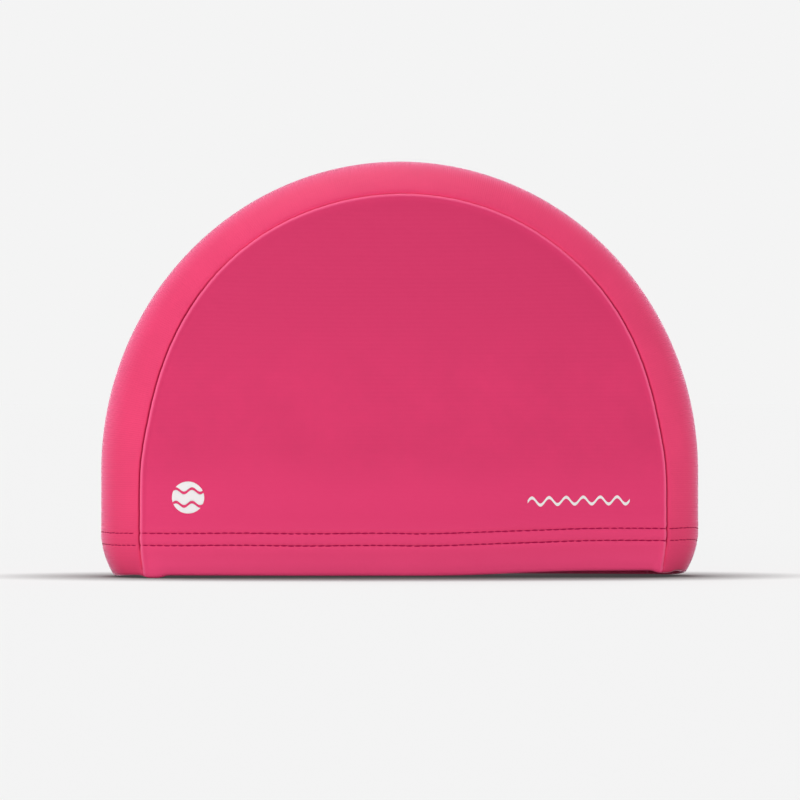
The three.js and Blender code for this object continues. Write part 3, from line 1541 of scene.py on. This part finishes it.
@dataclass
class Studio:
    """A pale floor with a painted contact shadow, soft lights and the camera."""

    paper: float = 0.905
    ambient: float = 0.31
    low_light: float = 0.03
    floor_albedo: float = 0.20
    # Painted contact shadow: the floor's glow is darkened by ambient occlusion within this reach,
    # raised to this power, down to this least share.
    contact_reach: float = 48 * MM
    contact_power: float = 3.4
    contact_least: float = 0.07
    # Painted shade: the glow is also taken away in a soft box of these half sizes under the cap's
    # hollow.
    hollow_shadow_box: tuple[float, float] = (88 * MM, 28 * MM)
    hollow_shadow_fade: float = 10 * MM
    floor_reach: float = 40.0
    lamps: tuple[Lamp, ...] = (
        Lamp("top_light", 1.95, (-0.10, 0.45, 0.89), 44.0),
        Lamp("front_light", 1.72, (-0.12, -0.99, 0.09), 36.0),
        Lamp("left_light", 0.72, (-0.95, -0.20, 0.22), 36.0),
        Lamp("right_light", 0.44, (0.97, 0.00, 0.22), 36.0),
    )
    azimuth: float = -2.5
    elevation: float = 0.05
    aim_height: float = 57.75 * MM
    distance: float = 2.57
    lens: float = 352.5
    sensor_width: float = 36.0

    def build(self) -> None:
        """Builds the floor, the world, the lights and the camera."""
        lit = self.ambient + self.low_light
        for lamp in self.lamps:
            lit += lamp.strength * Vector(lamp.towards).normalized().z / math.pi
            self.hang(lamp)
        self.floor(self.paper - self.floor_albedo * lit)
        self.world()
        self.camera()
        bpy.context.scene.view_settings.view_transform = "Standard"

    def floor(self, glow: float) -> None:
        """Lays the floor: pale paper with a painted contact shadow where something stands on it, and
        painted shade under the cap's hollow.

        Args:
            glow: The light that it gives by itself, so that it is as pale as the backdrop.
        """
        skin = Skin("studio_floor")
        bmesh.ops.create_grid(skin.mesh, x_segments=2, y_segments=2, size=self.floor_reach)
        piece = skin.finish(outward=Vector((0, 0, 1)))
        weaver = Weaver("studio_paper")
        # Painted contact shadow: the glow follows the open sky that ambient occlusion finds.
        open_sky = weaver.node(
            "ShaderNodeAmbientOcclusion", {"Distance": self.contact_reach}, samples=16
        ).outputs["AO"]
        shaded = weaver.math("POWER", open_sky, self.contact_power)
        place = weaver.node("ShaderNodeTexCoord", {}).outputs["Object"]
        parts = weaver.node("ShaderNodeSeparateXYZ", {0: place}).outputs
        # Painted shade in a soft box under the cap's hollow.
        along, across = (
            weaver.eased(weaver.math("ABSOLUTE", part), reach, reach - self.hollow_shadow_fade)
            for part, reach in zip(parts, self.hollow_shadow_box)
        )
        unshadowed_share = weaver.math("SUBTRACT", 1.0, weaver.math("MULTIPLY", along, across))
        shaded = weaver.math("MULTIPLY", shaded, unshadowed_share)
        shaded = weaver.math("MAXIMUM", shaded, self.contact_least)
        weaver.set(
            Base_Color=(*(self.floor_albedo,) * 3, 1.0),
            Roughness=1.0,
            Specular_IOR_Level=0.0,
            Emission_Color=(1.0, 1.0, 1.0, 1.0),
            Emission_Strength=weaver.math("MULTIPLY", shaded, glow),
        )
        piece.data.materials.append(weaver.material)

    def world(self) -> None:
        """Sets the dim light all round, and the pale backdrop that the camera sees."""
        world = bpy.data.worlds.new("studio_world")
        bpy.context.scene.world = world
        world.use_nodes = True
        nodes, links = world.node_tree.nodes, world.node_tree.links
        nodes.clear()
        out = nodes.new("ShaderNodeOutputWorld")
        mix = nodes.new("ShaderNodeMixShader")
        for socket, level in ((1, self.ambient), (2, self.paper)):
            light = nodes.new("ShaderNodeBackground")
            light.inputs["Color"].default_value = (level, level, level, 1.0)
            links.new(light.outputs[0], mix.inputs[socket])
        path = nodes.new("ShaderNodeLightPath")
        links.new(path.outputs["Is Camera Ray"], mix.inputs[0])
        links.new(mix.outputs[0], out.inputs["Surface"])

    def hang(self, lamp: Lamp) -> None:
        """Hangs a light.

        Args:
            lamp: The light.
        """
        data = bpy.data.lights.new(lamp.name, "SUN")
        data.energy = lamp.strength
        data.angle = math.radians(lamp.angle)
        light = bpy.data.objects.new(lamp.name, data)
        light.rotation_euler = Vector(lamp.towards).to_track_quat("Z", "Y").to_euler()
        bpy.context.scene.collection.objects.link(light)

    def camera(self) -> None:
        """Sets the camera up in front of the cap, a little above the floor."""
        turn, rise = math.radians(self.azimuth), math.radians(self.elevation)
        level = math.cos(rise)
        back = Vector((math.sin(turn) * level, -math.cos(turn) * level, math.sin(rise)))
        data = bpy.data.cameras.new("studio_camera")
        data.lens = self.lens
        data.sensor_width = self.sensor_width
        camera = bpy.data.objects.new("studio_camera", data)
        camera.location = Vector((0, 0, self.aim_height)) + back * self.distance
        camera.rotation_euler = (-back).to_track_quat("-Z", "Y").to_euler()
        bpy.context.scene.collection.objects.link(camera)
        bpy.context.scene.camera = camera


def report(pieces: Iterable[Piece]) -> None:
    """Logs each finished piece with its number of faces."""
    for piece in pieces:
        log.info("%s: %d faces", piece.name, len(piece.data.polygons))


def main() -> None:
    """Builds the studio and every piece of the cap."""
    logging.basicConfig(level=logging.INFO, format="%(message)s")
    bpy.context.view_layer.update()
    Studio().build()
    cap = DressedCap()
    marks = [
        PrintedMark(
            cap,
            MarkShape.ROUNDEL,
            x=-70.0 * MM,
            z=26.2 * MM,
            half_width=5.2 * MM,
            wave_height=0.7 * MM,
            wave_length=5.2 * MM,
            stroke=0.9 * MM,
        ),
        PrintedMark(
            cap,
            MarkShape.RIPPLE,
            x=56.6 * MM,
            z=24.1 * MM,
            half_width=16.8 * MM,
            wave_height=1.3 * MM,
            wave_length=5.6 * MM,
            stroke=1.1 * MM,
        ),
    ]
    prints = [mark.build() for mark in marks]
    report(prints)
    for side in Side:
        edges = SeamAllowance(cap, side).build()
        report(edges)
        going = edges + (prints if side is Side.NEAR else [])
        report([SidePanel(cap, side).build(going)])
    report([CentreStrip(cap).build()])
    report(HemStitching(cap).build())


if __name__ == "__main__":
    main()
